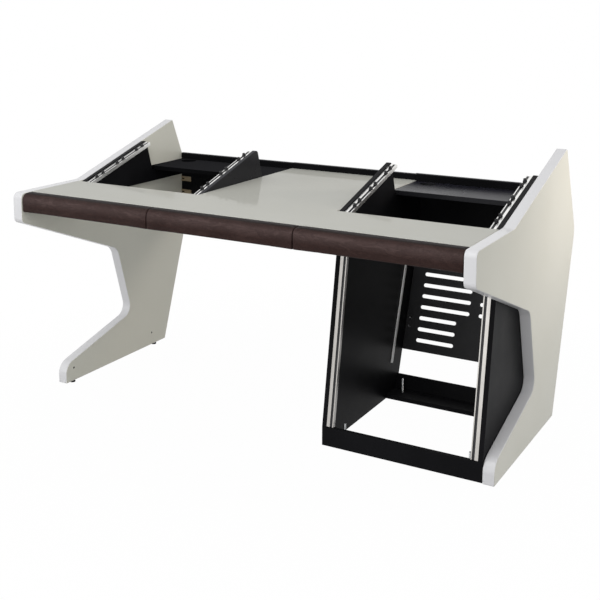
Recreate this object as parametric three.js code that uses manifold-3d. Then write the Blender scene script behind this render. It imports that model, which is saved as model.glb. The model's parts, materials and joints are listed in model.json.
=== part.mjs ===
import * as THREE from 'three';
import { mergeVertices } from 'three/addons/utils/BufferGeometryUtils.js';
import Module from 'manifold-3d';

// A studio desk with two sloping rack bays and a standing rack under its right side.
// Millimetres, +X to the right, +Y to the rear, +Z up, origin on the floor under the middle.
// Depths are counted from the front of the side panels' feet, and the whole desk is centred at the end.

const wasm = await Module();
wasm.setup();

// Clearances shared by every piece
const seatGap = 0.3;
const cutOverrun = 5;

// Overall sizes
const deskWidth = 1650;
const desktopHeight = 742.5;
const footLift = 10;

// Side panels: heights are above the floor, depths are from the front of the foot
const sidePanel = {
  thickness: 37,
  edgeRound: 3,
  soleDepth: 590,
  soleHeight: 8.5,
  toeHeight: 76.5,
  toeRound: 46,
  kneeDepth: 379,
  kneeHeight: 178.7,
  kneeRound: 42,
  armRootDepth: 300,
  armRootHeight: 447.5,
  armRootRound: 50,
  noseReach: 195,
  noseBottomHeight: 642,
  noseRound: 20,
  inclineStartDepth: 122.5,
  inclineStartRound: 60,
  peakDepth: 661.5,
  peakHeight: 906.5,
  peakRound: 5,
  backDepth: 792.4,
  backHeight: 609.3,
  backRound: 80,
  cornerRound: 4,
  boltHoleRadius: 4,
  boltHoleDepth: 12,
  boltHoleHeight: 57,
  boltHoleDepths: [41, 502],
};

// Desktop: one board with a front strip and a middle that reaches the rear
const desktop = {
  thickness: 30,
  frontReach: 145,
  bayFrontDepth: 90,
  edgeRound: 1.5,
};

// Black boards of the bays, the rack and the rear
const blackBoard = {
  thickness: 15,
  backSetback: 73,
  backThickness: 16,
  backBottomHeight: 551,
  backRises: [21.5, 22.5, 24.5],
  backTopRound: 4,
  backJoint: 257,
};

// Rack sizes: the clear opening between rails and the pitch of one unit
const rackOpening = 450;
const rackPitch = 44.45;

// Rails: a T-slot extrusion with a wide lip beside its board
const rail = {
  wideLip: 11,
  slotWidth: 8.4,
  narrowLip: 3.35,
  lipThickness: 2,
  channelSide: 1.7,
  channelDepth: 6,
  depth: 13,
};

// Sloping bays: their top lies in the plane of the side panels' slopes
const bay = {
  railLength: 385.5,
  railRecess: 4.5,
  railStart: 0.6,
  cheekBottomHeight: 680,
  cheekReach: 394,
  cheekRound: 14,
};

// Screws that stand in the bay rails on a strip of threaded bar
const nutStrip = {
  sideClearance: 0.3,
  thickness: 5.4,
  firstPair: 85.5,
  pairPitch: 121,
  pairSpacing: 36,
  pairs: 3,
  shankRadius: 2.8,
  washerRadius: 7,
  washerThickness: 2.2,
  headRadius: 5.2,
  headHeight: 6.3,
  headChamfer: 0.6,
};

// Shelves behind the bays
const shelf = {
  thickness: 16,
  drop: 3,
  frontDepth: 515,
  holeRadius: 30,
  holeFromLeftEnd: 62,
  holeFromBack: 36,
};

// Leather armrest in three sections and the batten that carries it
const armrest = {
  height: 66,
  frontReach: 195,
  joint: 264.3,
  jointGap: 0.6,
  topRound: 15,
  bottomRound: 6,
  endRound: 2,
  crown: 1.2,
  battenDepth: 35,
  battenHeight: 28,
};

// Standing rack under the right bay
const rack = {
  frontDepth: 3,
  plinthHeight: 60.7,
  frontLean: THREE.MathUtils.degToRad(9.4),
  rearSetback: 53,
  railUnits: 14,
  railStart: 3,
  railRecess: 1,
  rearRailUnits: 11,
  rearRailWidth: 12,
  rearRailThickness: 4,
  rearRailSetIn: 84,
  rearRailStart: 96,
  rearPlinthLength: 61,
  stripDepth: 71,
  stripThickness: 15,
  rearStripSetIn: 16.5,
};

// Vent panel on the rear edges of the rack's sides
const vent = {
  thickness: 2,
  bottom: 148,
  topClearance: 1,
  firstSlot: 186.4,
  lastSlotDrop: 28.81923,
  slotHeight: 13,
  rows: 10,
  shortRows: 3,
  longSlot: 184,
  shortSlot: 140,
  bridge: 34,
};

// Flat brackets at the ends of the rear boards, each with a slot open towards the outer board
const bracket = {
  length: 48,
  thickness: 2.5,
  height: 20,
  cornerRound: 3,
  slotLength: 15,
  slotHeight: 5,
  centreHeights: [656.5, 601.5],
};

// Levelling feet: a pad under a threaded stem
const foot = {
  padRadius: 10,
  padHeight: 5,
  padEdge: 1.5,
  stemRadius: 4,
  stemTip: 1,
  holeClearance: 0.3,
  collarRadius: 6.5,
  collarHeight: 1.6,
  panelStemTop: 44,
  panelHoleTop: 50,
  panelRecessTop: 12,
  panelInset: 12.5,
  panelDepths: [46, 530],
  rackStemTop: 74,
  rackSpread: 207,
  rackFrontInset: 34.7,
  rackRearInset: 45.5,
};

// Places worked out from the sizes
const panelInnerX = deskWidth / 2 - sidePanel.thickness;
const bayOuterX = panelInnerX - seatGap;
const railWidth = rail.wideLip + rail.slotWidth + rail.narrowLip;
const bayInnerWidth = rackOpening + 2 * (railWidth + seatGap);
const bayCentreX = bayOuterX - blackBoard.thickness - bayInnerWidth / 2;
const bayInnerX = bayCentreX - bayInnerWidth / 2 - blackBoard.thickness;
const inclineRise = sidePanel.peakHeight - desktopHeight;
const inclineRun = sidePanel.peakDepth - sidePanel.inclineStartDepth;
const inclineAngle = Math.atan2(inclineRise, inclineRun);
const rearLean = Math.atan2(sidePanel.backDepth - sidePanel.soleDepth, sidePanel.backHeight - sidePanel.soleHeight);
const shelfTop = desktopHeight - shelf.drop;
const shelfBottom = shelfTop - shelf.thickness;
const cheekFrontDepth = desktop.bayFrontDepth + seatGap;
const backBoardDepth = sidePanel.backDepth - blackBoard.backSetback;
const cheekBackDepth = backBoardDepth - seatGap;
const bayFrontHeight = desktopHeight - (sidePanel.inclineStartDepth - cheekFrontDepth) * Math.tan(inclineAngle);
const plinthTop = footLift + rack.plinthHeight;
const rearFootDepth = sidePanel.soleDepth - rack.rearSetback;
const frontStripDepth = rack.frontDepth + blackBoard.thickness + seatGap;
const rearStripDepth = rearFootDepth - rack.rearStripSetIn - rack.stripDepth;
const rackFootDepths = [frontStripDepth + foot.rackFrontInset, rearStripDepth + foot.rackRearInset];
const panelFootX = panelInnerX + foot.panelInset;

const colours = {
  lacquer: { color: 0xdcdcd2, roughness: 0.22, metalness: 0 },
  black: { color: 0x1b1b1d, roughness: 0.45, metalness: 0 },
  leather: { color: 0x3a2b2a, roughness: 0.5, metalness: 0 },
  aluminium: { color: 0xc6c4c0, roughness: 0.35, metalness: 0.9 },
  steel: { color: 0xb8bbbe, roughness: 0.3, metalness: 1 },
  brass: { color: 0x9a8465, roughness: 0.4, metalness: 0.8 },
  plastic: { color: 0x141414, roughness: 0.55, metalness: 0 },
};

// Solids: joining and cutting closed meshes

function solidFrom(geometry) {
  const bare = geometry.clone();
  bare.deleteAttribute('normal');
  bare.deleteAttribute('uv');
  const welded = mergeVertices(bare);
  return new wasm.Manifold(new wasm.Mesh({
    numProp: 3,
    vertProperties: new Float32Array(welded.attributes.position.array),
    triVerts: new Uint32Array(welded.index.array),
  }));
}

function geometryFrom(solid) {
  const mesh = solid.getMesh();
  const geometry = new THREE.BufferGeometry();
  geometry.setAttribute('position', new THREE.BufferAttribute(mesh.vertProperties, mesh.numProp));
  geometry.setIndex(new THREE.BufferAttribute(mesh.triVerts, 1));
  geometry.computeVertexNormals();
  return geometry;
}

function cut(geometry, tools) {
  const start = solidFrom(geometry);
  return geometryFrom(tools.reduce((solid, tool) => solid.subtract(solidFrom(tool)), start));
}

function join(geometries) {
  const solids = geometries.map(solidFrom);
  return geometryFrom(solids.reduce((whole, solid) => whole.add(solid)));
}

// Outlines: corners are [across, up, radius], and a radius rounds its corner with an arc

function roundedOutline(corners) {
  const shape = new THREE.Shape();
  corners.forEach(([across, up, radius = 0], index) => {
    const corner = new THREE.Vector2(across, up);
    if (radius === 0) {
      if (index === 0) {
        shape.moveTo(across, up);
      } else {
        shape.lineTo(across, up);
      }
      return;
    }
    const before = corners[(index + corners.length - 1) % corners.length];
    const after = corners[(index + 1) % corners.length];
    const toBefore = new THREE.Vector2(before[0], before[1]).sub(corner).normalize();
    const toAfter = new THREE.Vector2(after[0], after[1]).sub(corner).normalize();
    const halfAngle = Math.acos(toBefore.dot(toAfter)) / 2;
    const reach = radius / Math.tan(halfAngle);
    const middle = toBefore.clone().add(toAfter).setLength(radius / Math.sin(halfAngle)).add(corner);
    const start = toBefore.clone().multiplyScalar(reach).add(corner).sub(middle);
    const end = toAfter.clone().multiplyScalar(reach).add(corner).sub(middle);
    const clockwise = toBefore.cross(toAfter) > 0;
    shape.absarc(middle.x, middle.y, radius, start.angle(), end.angle(), clockwise);
  });
  return shape;
}

// A slab of an outline drawn in depth and height, standing across the desk from x = 0
function slabAcross(outline, thickness, edge, arcSteps) {
  const geometry = new THREE.ExtrudeGeometry(outline, {
    depth: thickness - 2 * edge,
    bevelEnabled: edge > 0,
    bevelThickness: edge,
    bevelSize: edge,
    bevelOffset: -edge,
    bevelSegments: 2,
    curveSegments: arcSteps,
  });
  geometry.translate(0, 0, edge);
  const turn = new THREE.Matrix4().makeBasis(
    new THREE.Vector3(0, 1, 0),
    new THREE.Vector3(0, 0, 1),
    new THREE.Vector3(1, 0, 0),
  );
  return geometry.applyMatrix4(turn);
}

// A box given by its low and high limits on each axis
function boxBetween([lowX, highX], [lowY, highY], [lowZ, highZ]) {
  const geometry = new THREE.BoxGeometry(highX - lowX, highY - lowY, highZ - lowZ);
  return geometry.translate((lowX + highX) / 2, (lowY + highY) / 2, (lowZ + highZ) / 2);
}

// A turned piece: the profile gives radius and height, and the axis stands along Z
function turned(profile, segments) {
  const points = profile.map(([radius, height]) => new THREE.Vector2(radius, height));
  return new THREE.LatheGeometry(points, segments).rotateX(Math.PI / 2);
}

function named(name, geometry, colour) {
  const mesh = new THREE.Mesh(geometry, new THREE.MeshStandardMaterial(colours[colour]));
  mesh.name = name;
  return mesh;
}

// Side panels

function sidePanelOutline() {
  const p = sidePanel;
  return roundedOutline([
    [0, p.soleHeight, p.cornerRound],
    [p.soleDepth, p.soleHeight, p.cornerRound],
    [p.backDepth, p.backHeight, p.backRound],
    [p.peakDepth, p.peakHeight, p.peakRound],
    [p.inclineStartDepth, desktopHeight, p.inclineStartRound],
    [-p.noseReach, desktopHeight, p.noseRound],
    [-p.noseReach, p.noseBottomHeight, p.noseRound],
    [p.armRootDepth, p.armRootHeight, p.armRootRound],
    [p.kneeDepth, p.kneeHeight, p.kneeRound],
    [0, p.toeHeight, p.toeRound],
  ]);
}

function makeSidePanel(side) {
  const slab = slabAcross(sidePanelOutline(), sidePanel.thickness, sidePanel.edgeRound, 4);
  slab.translate(side * (panelInnerX + sidePanel.thickness / 2) - sidePanel.thickness / 2, 0, 0);
  const footHoles = foot.panelDepths.flatMap((depth) => {
    const bores = [[foot.stemRadius, foot.panelHoleTop], [foot.collarRadius, foot.panelRecessTop]];
    return bores.map(([innerRadius, top]) => {
      const radius = innerRadius + foot.holeClearance;
      const height = top - sidePanel.soleHeight + cutOverrun;
      const bore = new THREE.CylinderGeometry(radius, radius, height, 16).rotateX(Math.PI / 2);
      return bore.translate(side * panelFootX, depth, top - height / 2);
    });
  });
  const boltHoles = sidePanel.boltHoleDepths.map((depth) => {
    const length = sidePanel.boltHoleDepth + cutOverrun;
    const hole = new THREE.CylinderGeometry(sidePanel.boltHoleRadius, sidePanel.boltHoleRadius, length, 16);
    hole.rotateZ(Math.PI / 2);
    const centre = panelInnerX + sidePanel.boltHoleDepth - length / 2;
    return hole.translate(side * centre, depth, sidePanel.boltHoleHeight);
  });
  return cut(slab, [...footHoles, ...boltHoles]);
}

// Desktop

function makeDesktop() {
  const middle = bayInnerX - seatGap;
  const outline = roundedOutline([
    [-bayOuterX, -desktop.frontReach],
    [bayOuterX, -desktop.frontReach],
    [bayOuterX, desktop.bayFrontDepth],
    [middle, desktop.bayFrontDepth],
    [middle, cheekBackDepth],
    [-middle, cheekBackDepth],
    [-middle, desktop.bayFrontDepth],
    [-bayOuterX, desktop.bayFrontDepth],
  ]);
  const board = new THREE.ExtrudeGeometry(outline, {
    depth: desktop.thickness - 2 * desktop.edgeRound,
    bevelThickness: desktop.edgeRound,
    bevelSize: desktop.edgeRound,
    bevelOffset: -desktop.edgeRound,
    bevelSegments: 2,
  });
  return board.translate(0, 0, desktopHeight - desktop.thickness + desktop.edgeRound);
}

// Armrest: a padded section with a crowned front, round long edges and nearly square ends

function makeCushion(lowX, highX) {
  const bottom = desktopHeight - armrest.height;
  const back = -desktop.frontReach - seatGap;
  const size = new THREE.Vector3(highX - lowX, back + armrest.frontReach, armrest.height);
  const half = size.clone().divideScalar(2);
  const columns = 26;
  const block = new THREE.BoxGeometry(size.x, size.y, size.z, columns, 5, 12);
  const places = block.attributes.position;
  for (let index = 0; index < places.count; index += 1) {
    const place = new THREE.Vector3().fromBufferAttribute(places, index);
    const share = place.clone().divide(half);
    const frontShare = Math.max(0, -share.y);
    const insideShare = share.x * columns / (columns - 2);
    if (Math.abs(share.x) < 1 - 1 / columns) {
      place.x = insideShare * (half.x - armrest.endRound);
    }
    const crownDrop = armrest.crown * share.x ** 4;
    const edgeRound = place.z > 0 ? armrest.topRound : armrest.bottomRound;
    const edgeDrop = roundDrop(place.z, half.z, edgeRound);
    const endDrop = roundDrop(place.x, half.x, armrest.endRound);
    place.y += frontShare * (edgeDrop + endDrop + crownDrop);
    places.setXYZ(index, place.x, place.y, place.z);
  }
  return block.translate((lowX + highX) / 2, back - half.y, bottom + half.z);
}

// How far a surface falls away near the end of a span whose edge has this radius
function roundDrop(place, halfSpan, radius) {
  const over = Math.max(0, Math.abs(place) - halfSpan + radius) / radius;
  return radius * (1 - Math.sqrt(Math.max(0, 1 - over ** 2)));
}

// Cheeks: the upper part that rises beside a bay, from its front edge over to the rear

function bayTopCorners() {
  const rise = Math.tan(inclineAngle);
  const peakDepth = cheekFrontDepth + bay.cheekReach * Math.cos(inclineAngle);
  const peakHeight = bayFrontHeight + bay.cheekReach * Math.sin(inclineAngle);
  const rearTop = shelfBottom - seatGap;
  const rearDepth = peakDepth + (peakHeight - rearTop) * rise;
  return [
    [cheekBackDepth, rearTop],
    [rearDepth, rearTop],
    [peakDepth, peakHeight, bay.cheekRound],
    [cheekFrontDepth, bayFrontHeight],
  ];
}

function leftCheekOutline() {
  return roundedOutline([
    [cheekFrontDepth, bay.cheekBottomHeight],
    [cheekBackDepth, bay.cheekBottomHeight],
    ...bayTopCorners(),
  ]);
}

// The rack's sides run from the floor strips up into the cheeks of the right bay
function rackSideOutline() {
  const rebateDepth = rack.frontDepth + blackBoard.thickness + seatGap;
  const rebateTop = plinthTop + seatGap;
  const leanFoot = rack.frontDepth + seatGap * Math.tan(rack.frontLean);
  const leanTop = rebateTop + (cheekFrontDepth - leanFoot) / Math.tan(rack.frontLean);
  const rearBend = footLift + (cheekBackDepth - rearFootDepth) / Math.tan(rearLean);
  return roundedOutline([
    [rebateDepth, footLift],
    [rearFootDepth, footLift],
    [cheekBackDepth, rearBend],
    ...bayTopCorners(),
    [cheekFrontDepth, leanTop],
    [leanFoot, rebateTop],
    [rebateDepth, rebateTop],
  ]);
}

// Rails: the section starts at the board, its depth runs away from the face

function railOutline(direction) {
  const slotStart = rail.wideLip;
  const slotEnd = rail.wideLip + rail.slotWidth;
  const channelEnd = rail.lipThickness + rail.channelDepth;
  const corners = [
    [0, 0],
    [slotStart, 0],
    [slotStart, rail.lipThickness],
    [slotStart - rail.channelSide, rail.lipThickness],
    [slotStart - rail.channelSide, channelEnd],
    [slotEnd + rail.channelSide, channelEnd],
    [slotEnd + rail.channelSide, rail.lipThickness],
    [slotEnd, rail.lipThickness],
    [slotEnd, 0],
    [railWidth, 0],
    [railWidth, rail.depth],
    [0, rail.depth],
  ];
  return roundedOutline(corners.map(([across, depth]) => [direction * across, depth]));
}

function makeRail(direction, length) {
  return new THREE.ExtrudeGeometry(railOutline(direction), { depth: length, bevelEnabled: false });
}

function makeNutStrip(direction, length) {
  const halfWidth = rail.slotWidth / 2 + rail.channelSide - nutStrip.sideClearance;
  const centre = direction * (rail.wideLip + rail.slotWidth / 2);
  const floor = rail.lipThickness + rail.channelDepth - nutStrip.sideClearance;
  return boxBetween(
    [centre - halfWidth, centre + halfWidth],
    [floor - nutStrip.thickness, floor],
    [seatGap, length - seatGap],
  );
}

// A black screw with its cup washer, standing over the rail's face
function makeStripScrew(direction, along) {
  const n = nutStrip;
  const foundation = rail.lipThickness + rail.channelDepth - n.sideClearance - n.thickness / 2;
  const washerSeat = foundation + seatGap;
  const washerTop = washerSeat + n.washerThickness;
  const headTop = washerTop + n.headHeight;
  const screw = turned([
    [0, 0],
    [n.shankRadius, 0],
    [n.shankRadius, washerSeat],
    [n.washerRadius, washerSeat],
    [n.washerRadius - n.headChamfer, washerTop],
    [n.headRadius, washerTop],
    [n.headRadius, headTop - n.headChamfer],
    [n.headRadius - n.headChamfer, headTop],
    [0, headTop],
  ], 12);
  screw.rotateX(Math.PI / 2);
  return screw.translate(direction * (rail.wideLip + rail.slotWidth / 2), foundation, along);
}

function makeScrewStrip(direction) {
  const pieces = [makeNutStrip(direction, bay.railLength)];
  for (let pair = 0; pair < nutStrip.pairs; pair += 1) {
    const centre = nutStrip.firstPair + pair * nutStrip.pairPitch;
    pieces.push(makeStripScrew(direction, centre - nutStrip.pairSpacing / 2));
    pieces.push(makeStripScrew(direction, centre + nutStrip.pairSpacing / 2));
  }
  return join(pieces);
}

// Shelf behind a bay, with a round hole for cables near its left end
function makeShelf(side) {
  const leftEnd = side < 0 ? -bayOuterX : bayInnerX;
  const rightEnd = side < 0 ? -bayInnerX : bayOuterX;
  const outline = roundedOutline([
    [leftEnd, shelf.frontDepth],
    [rightEnd, shelf.frontDepth],
    [rightEnd, cheekBackDepth],
    [leftEnd, cheekBackDepth],
  ]);
  const hole = new THREE.Path();
  const holeX = leftEnd + shelf.holeFromLeftEnd;
  hole.absarc(holeX, backBoardDepth - shelf.holeFromBack, shelf.holeRadius, 0, 2 * Math.PI);
  outline.holes.push(hole);
  const board = new THREE.ExtrudeGeometry(outline, {
    depth: shelf.thickness,
    bevelEnabled: false,
    curveSegments: 16,
  });
  return board.translate(0, 0, shelfBottom);
}

// Rear board section, with its two top edges rounded
function makeBackBoard(lowX, highX, rise) {
  const rearDepth = backBoardDepth + blackBoard.backThickness;
  const top = desktopHeight + rise;
  const outline = roundedOutline([
    [backBoardDepth, blackBoard.backBottomHeight],
    [rearDepth, blackBoard.backBottomHeight],
    [rearDepth, top, blackBoard.backTopRound],
    [backBoardDepth, top, blackBoard.backTopRound],
  ]);
  return slabAcross(outline, highX - lowX, 0, 3).translate(lowX, 0, 0);
}

// Flat bracket on the face of a rear board, with a round-ended slot that opens at the outer board
function makeBracket(side, faceX, centreHeight) {
  const halfHeight = bracket.height / 2;
  const halfSlot = bracket.slotHeight / 2;
  const slotMiddle = bracket.slotLength - halfSlot;
  const outline = roundedOutline([
    [0, halfHeight],
    [0, -halfHeight],
    [bracket.length, -halfHeight, bracket.cornerRound],
    [bracket.length, halfHeight, bracket.cornerRound],
  ]);
  const plate = new THREE.ExtrudeGeometry(outline, {
    depth: bracket.thickness,
    bevelEnabled: false,
    curveSegments: 4,
  });
  const slotEnd = new THREE.CylinderGeometry(halfSlot, halfSlot, bracket.thickness + 2 * cutOverrun, 16);
  slotEnd.rotateX(Math.PI / 2).translate(slotMiddle, 0, bracket.thickness / 2);
  const slot = boxBetween(
    [-cutOverrun, slotMiddle],
    [-halfSlot, halfSlot],
    [-cutOverrun, bracket.thickness + cutOverrun],
  );
  const drilled = cut(plate, [join([slot, slotEnd])]);
  drilled.rotateX(Math.PI / 2);
  if (side > 0) {
    drilled.rotateZ(Math.PI).translate(0, -bracket.thickness, 0);
  }
  return drilled.translate(side * faceX, backBoardDepth - seatGap, centreHeight);
}

// Vent panel in the rack's rear plane: x across from the rack's middle, z up the lean
function makeVentPanel() {
  const halfWidth = bayOuterX - bayCentreX;
  const top = (blackBoard.backBottomHeight - vent.topClearance - footLift) / Math.cos(rearLean);
  const outline = roundedOutline([
    [-halfWidth, vent.bottom],
    [halfWidth, vent.bottom],
    [halfWidth, top],
    [-halfWidth, top],
  ]);
  const slotPitch = (top - vent.lastSlotDrop - vent.firstSlot) / (vent.rows - 1);
  for (let row = 0; row < vent.rows; row += 1) {
    const height = vent.firstSlot + row * slotPitch;
    const length = row < vent.shortRows ? vent.shortSlot : vent.longSlot;
    const outerEnd = vent.bridge / 2 + vent.longSlot;
    outline.holes.push(slotPath(-outerEnd, length, height));
    outline.holes.push(slotPath(outerEnd - length, length, height));
  }
  const sheet = new THREE.ExtrudeGeometry(outline, {
    depth: vent.thickness,
    bevelEnabled: false,
    curveSegments: 4,
  });
  return sheet.rotateX(Math.PI / 2).translate(0, vent.thickness + seatGap, 0);
}

function slotPath(start, length, height) {
  const radius = vent.slotHeight / 2;
  const path = new THREE.Path();
  path.absarc(start + length - radius, height, radius, -Math.PI / 2, Math.PI / 2);
  path.absarc(start + radius, height, radius, Math.PI / 2, 3 * Math.PI / 2);
  return path;
}

// Floor strip of the rack, drilled for its two levelling feet
function makeFloorStrip(frontDepth, footDepth) {
  const halfWidth = bayInnerWidth / 2 - seatGap;
  const strip = boxBetween(
    [bayCentreX - halfWidth, bayCentreX + halfWidth],
    [frontDepth, frontDepth + rack.stripDepth],
    [footLift, footLift + rack.stripThickness],
  );
  const length = rack.stripThickness + 2 * cutOverrun;
  const holes = [-1, 1].map((side) => {
    const radius = foot.stemRadius + foot.holeClearance;
    const hole = new THREE.CylinderGeometry(radius, radius, length, 16).rotateX(Math.PI / 2);
    return hole.translate(bayCentreX + side * foot.rackSpread, footDepth, footLift + rack.stripThickness / 2);
  });
  return cut(strip, holes);
}

// Levelling foot

function makeFootPad() {
  return turned([
    [0, 0],
    [foot.padRadius - foot.padEdge, 0],
    [foot.padRadius, foot.padEdge],
    [foot.padRadius, foot.padHeight - foot.padEdge],
    [foot.padRadius - foot.padEdge, foot.padHeight],
    [0, foot.padHeight],
  ], 24);
}

function makeFootStem(top) {
  const bottom = foot.padHeight + seatGap;
  const collarTop = bottom + foot.collarHeight;
  return turned([
    [0, bottom],
    [foot.collarRadius, bottom],
    [foot.collarRadius, collarTop],
    [foot.stemRadius, collarTop],
    [foot.stemRadius, top - foot.stemTip],
    [foot.stemRadius - foot.stemTip, top],
    [0, top],
  ], 16);
}

function addFoot(desk, name, x, y, stemTop) {
  const pad = named(`${name}_pad`, makeFootPad(), 'plastic');
  const stem = named(`${name}_stem`, makeFootStem(stemTop), 'steel');
  pad.position.set(x, y, 0);
  stem.position.set(x, y, 0);
  desk.add(pad, stem);
}

// A pair of rails for one rack frame, left and right of its middle
function addRailPair(frame, prefix, length, place) {
  for (const [side, label] of [[-1, 'left'], [1, 'right']]) {
    const mesh = named(`${prefix}_rail_${label}`, makeRail(-side, length), 'aluminium');
    place(mesh, side);
    frame.add(mesh);
  }
}

// Assembly

const desk = new THREE.Group();

for (const [side, label] of [[-1, 'left'], [1, 'right']]) {
  desk.add(named(`side_panel_${label}`, makeSidePanel(side), 'lacquer'));
}
desk.add(named('desktop', makeDesktop(), 'lacquer'));

const battenBottom = desktopHeight - armrest.height + seatGap;
desk.add(named('armrest_batten', boxBetween(
  [-bayOuterX, bayOuterX],
  [-desktop.frontReach, -desktop.frontReach + armrest.battenDepth],
  [battenBottom, desktopHeight - desktop.thickness - seatGap],
), 'black'));
const centreEnd = armrest.joint - armrest.jointGap / 2;
const sideStart = armrest.joint + armrest.jointGap / 2;
desk.add(named('armrest_pad_left', makeCushion(-bayOuterX, -sideStart), 'leather'));
desk.add(named('armrest_pad_centre', makeCushion(-centreEnd, centreEnd), 'leather'));
desk.add(named('armrest_pad_right', makeCushion(sideStart, bayOuterX), 'leather'));

for (const [offset, label] of [[bayOuterX - blackBoard.thickness, 'outer'], [bayInnerX, 'inner']]) {
  const cheek = slabAcross(leftCheekOutline(), blackBoard.thickness, 0, 3);
  cheek.translate(-offset - blackBoard.thickness, 0, 0);
  desk.add(named(`bay_cheek_left_${label}`, cheek, 'black'));
  const side = slabAcross(rackSideOutline(), blackBoard.thickness, 0, 3);
  side.translate(offset, 0, 0);
  desk.add(named(label === 'inner' ? 'rack_side_left' : 'rack_side_right', side, 'black'));
}

for (const [side, label] of [[-1, 'left'], [1, 'right']]) {
  const frame = new THREE.Group();
  frame.position.set(side * bayCentreX, cheekFrontDepth, bayFrontHeight);
  frame.rotation.x = inclineAngle;
  const place = (mesh, end) => {
    mesh.position.set(end * bayInnerWidth / 2 - end * seatGap, bay.railStart, -bay.railRecess);
    mesh.rotation.x = -Math.PI / 2;
  };
  addRailPair(frame, `bay_${label}`, bay.railLength, place);
  for (const [end, endLabel] of [[-1, 'left'], [1, 'right']]) {
    const strip = named(`bay_${label}_screws_${endLabel}`, makeScrewStrip(-end), 'plastic');
    place(strip, end);
    frame.add(strip);
  }
  desk.add(frame);
  desk.add(named(`rear_shelf_${label}`, makeShelf(side), 'black'));
}

const jointEdge = blackBoard.backJoint + seatGap;
const backSpans = [[-bayOuterX, -jointEdge], [-blackBoard.backJoint, blackBoard.backJoint], [jointEdge, bayOuterX]];
['left', 'centre', 'right'].forEach((label, index) => {
  const board = makeBackBoard(...backSpans[index], blackBoard.backRises[index]);
  desk.add(named(`back_board_${label}`, board, 'black'));
});
for (const [side, label] of [[-1, 'left'], [1, 'right']]) {
  const faceX = side < 0 ? bayOuterX : bayOuterX - blackBoard.thickness - seatGap;
  bracket.centreHeights.forEach((height, index) => {
    const place = index === 0 ? 'upper' : 'lower';
    desk.add(named(`bracket_${label}_${place}`, makeBracket(side, faceX, height), 'brass'));
  });
}

// Standing rack: plinth, floor strips, front rails in the leaning front and the rear plane
desk.add(named('rack_plinth_front', boxBetween(
  [bayInnerX, bayOuterX],
  [rack.frontDepth, rack.frontDepth + blackBoard.thickness],
  [footLift, plinthTop],
), 'black'));
desk.add(named('rack_strip_front', makeFloorStrip(frontStripDepth, rackFootDepths[0]), 'black'));
desk.add(named('rack_strip_rear', makeFloorStrip(rearStripDepth, rackFootDepths[1]), 'black'));

const rackFront = new THREE.Group();
rackFront.position.set(bayCentreX, rack.frontDepth, plinthTop);
rackFront.rotation.x = -rack.frontLean;
const placeFrontRail = (mesh, end) => {
  mesh.position.set(end * bayInnerWidth / 2 - end * seatGap, rack.railRecess, rack.railStart);
};
const frontRailLength = rack.railUnits * rackPitch;
addRailPair(rackFront, 'rack_front', frontRailLength, placeFrontRail);
for (const [end, label] of [[-1, 'left'], [1, 'right']]) {
  const strip = named(`rack_front_nuts_${label}`, makeNutStrip(-end, frontRailLength), 'plastic');
  placeFrontRail(strip, end);
  rackFront.add(strip);
}
desk.add(rackFront);

const rackRear = new THREE.Group();
rackRear.position.set(bayCentreX, rearFootDepth, footLift);
rackRear.rotation.x = -rearLean;
rackRear.add(named('rack_plinth_rear', boxBetween(
  [-bayInnerWidth / 2 + seatGap, bayInnerWidth / 2 - seatGap],
  [-blackBoard.thickness, 0],
  [seatGap, rack.rearPlinthLength],
), 'black'));
for (const [end, label] of [[-1, 'left'], [1, 'right']]) {
  const faceX = bayInnerWidth / 2 - seatGap - rack.rearRailThickness / 2;
  const bar = new THREE.BoxGeometry(rack.rearRailThickness, rack.rearRailWidth, rack.rearRailUnits * rackPitch);
  const mesh = named(`rack_rear_rail_${label}`, bar, 'aluminium');
  const middle = rack.rearRailStart + rack.rearRailUnits * rackPitch / 2;
  mesh.position.set(end * faceX, -rack.rearRailSetIn, middle);
  rackRear.add(mesh);
}
rackRear.add(named('rack_vent_panel', makeVentPanel(), 'black'));
desk.add(rackRear);

// Feet under the side panels and under the rack
for (const [side, label] of [[-1, 'left'], [1, 'right']]) {
  foot.panelDepths.forEach((depth, index) => {
    const place = index === 0 ? 'front' : 'rear';
    addFoot(desk, `foot_panel_${label}_${place}`, side * panelFootX, depth, foot.panelStemTop);
  });
  rackFootDepths.forEach((depth, index) => {
    const place = index === 0 ? 'front' : 'rear';
    addFoot(desk, `foot_rack_${label}_${place}`, bayCentreX + side * foot.rackSpread, depth, foot.rackStemTop);
  });
}

// The origin sits under the middle of the desk's length and depth
const bounds = new THREE.Box3().setFromObject(desk);
desk.position.y = -(bounds.min.y + bounds.max.y) / 2;

export default desk;
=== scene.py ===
import json
import math

import bmesh
import bpy
from mathutils import Matrix, Vector


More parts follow.
